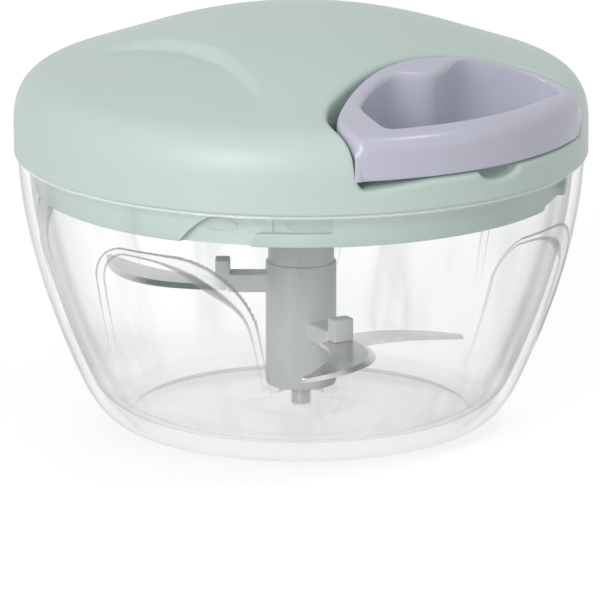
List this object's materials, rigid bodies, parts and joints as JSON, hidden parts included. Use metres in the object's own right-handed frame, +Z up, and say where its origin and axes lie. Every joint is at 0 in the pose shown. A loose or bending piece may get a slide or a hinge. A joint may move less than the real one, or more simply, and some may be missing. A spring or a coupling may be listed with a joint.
{
  "type": "pull-string food chopper",
  "caption": "Pull-string food chopper: a clear bowl with three sickle blades on a column, under a domed lid with a string reel, ratchet clutch and a ring handle set flush in its edge.",
  "frame": {"origin": "centre of the bowl's foot, on the table", "axes": "+Z up along the spindle, -Y is the front, +X to the right; the handle pulls out horizontally, 42.6 degrees from the front towards +X"},
  "size_m": [0.1298, 0.1298, 0.094],
  "materials": {
    "clear_plastic": "clear polished",
    "mint_plastic": "satin",
    "lilac_plastic": "satin",
    "grey_plastic": "fine matte",
    "white_plastic": "matte",
    "silicone": "soft matte",
    "blade_steel": "ground",
    "plain_steel": "turned",
    "string": "braided"
  },
  "bodies": {
    "bowl": {"bowl": "clear_plastic", "spindle_pin": "plain_steel"},
    "blades": {"blade_holder": "grey_plastic", "blade_upper": "blade_steel", "blade_middle": "blade_steel", "blade_lower": "blade_steel"},
    "seal": {"seal_ring": "silicone"},
    "lid": {"lid_base": "mint_plastic", "top_cover": "mint_plastic", "cover_screw_1": "plain_steel", "cover_screw_2": "plain_steel", "cover_screw_3": "plain_steel", "cover_screw_4": "plain_steel", "axle_pin": "plain_steel", "reel_washer": "plain_steel", "spiral_spring": "plain_steel", "string_guide": "plain_steel", "pull_string": "string"},
    "handle": {"handle": "lilac_plastic", "knot_cap": "lilac_plastic", "string_knot": "string"},
    "reel": {"reel": "white_plastic", "reel_cover": "white_plastic", "string_winding": "string"},
    "drive": {"drive_shaft": "grey_plastic"},
    "pawl_1": {"pawl_1": "white_plastic"},
    "pawl_2": {"pawl_2": "white_plastic"}
  },
  "joints": [
    {"name": "lid_lift", "type": "slide", "parent": "bowl", "child": "seal", "axis": [0, 0, 1], "range_m": [0, 0.11]},
    {"name": "lid_twist", "type": "hinge", "parent": "seal", "child": "lid", "pos_m": [0, 0, 0.062], "axis": [0, 0, -1], "range_deg": [0, 18]},
    {"name": "handle_pull", "type": "slide", "parent": "lid", "child": "handle", "axis": [0.6769, -0.7361, 0], "range_m": [0, 0.3], "stiffness_N_per_m": 20, "springref_m": -0.2, "deforming": ["pull_string"]},
    {"name": "reel_spin", "type": "hinge", "parent": "lid", "child": "reel", "pos_m": [0, 0, 0.08], "axis": [0, 0, 1], "range_deg": [0, 850], "deforming": ["spiral_spring"]},
    {"name": "drive_spin", "type": "hinge", "parent": "lid", "child": "drive", "pos_m": [0, 0, 0.066], "axis": [0, 0, 1], "range_deg": [0, 850]},
    {"name": "pawl_1_tilt", "type": "hinge", "parent": "drive", "child": "pawl_1", "pos_m": [0.01282, 0.00217, 0.0704], "axis": [0, 0, -1], "range_deg": [0, 9], "stiffness_Nm_per_rad": 0.002, "springref_deg": -5.73},
    {"name": "pawl_2_tilt", "type": "hinge", "parent": "drive", "child": "pawl_2", "pos_m": [-0.01282, -0.00217, 0.0704], "axis": [0, 0, -1], "range_deg": [0, 9], "stiffness_Nm_per_rad": 0.002, "springref_deg": -5.73},
    {"name": "blade_spin", "type": "hinge", "parent": "bowl", "child": "blades", "pos_m": [0, 0, 0.01], "axis": [0, 0, 1], "range_deg": [0, 850]}
  ],
  "couplings": [
    {"joint": "reel_spin", "follows": "handle_pull", "rad_per_m": 49.261},
    {"joint": "drive_spin", "follows": "handle_pull", "rad_per_m": 49.261},
    {"joint": "blade_spin", "follows": "handle_pull", "rad_per_m": 49.261}
  ]
}
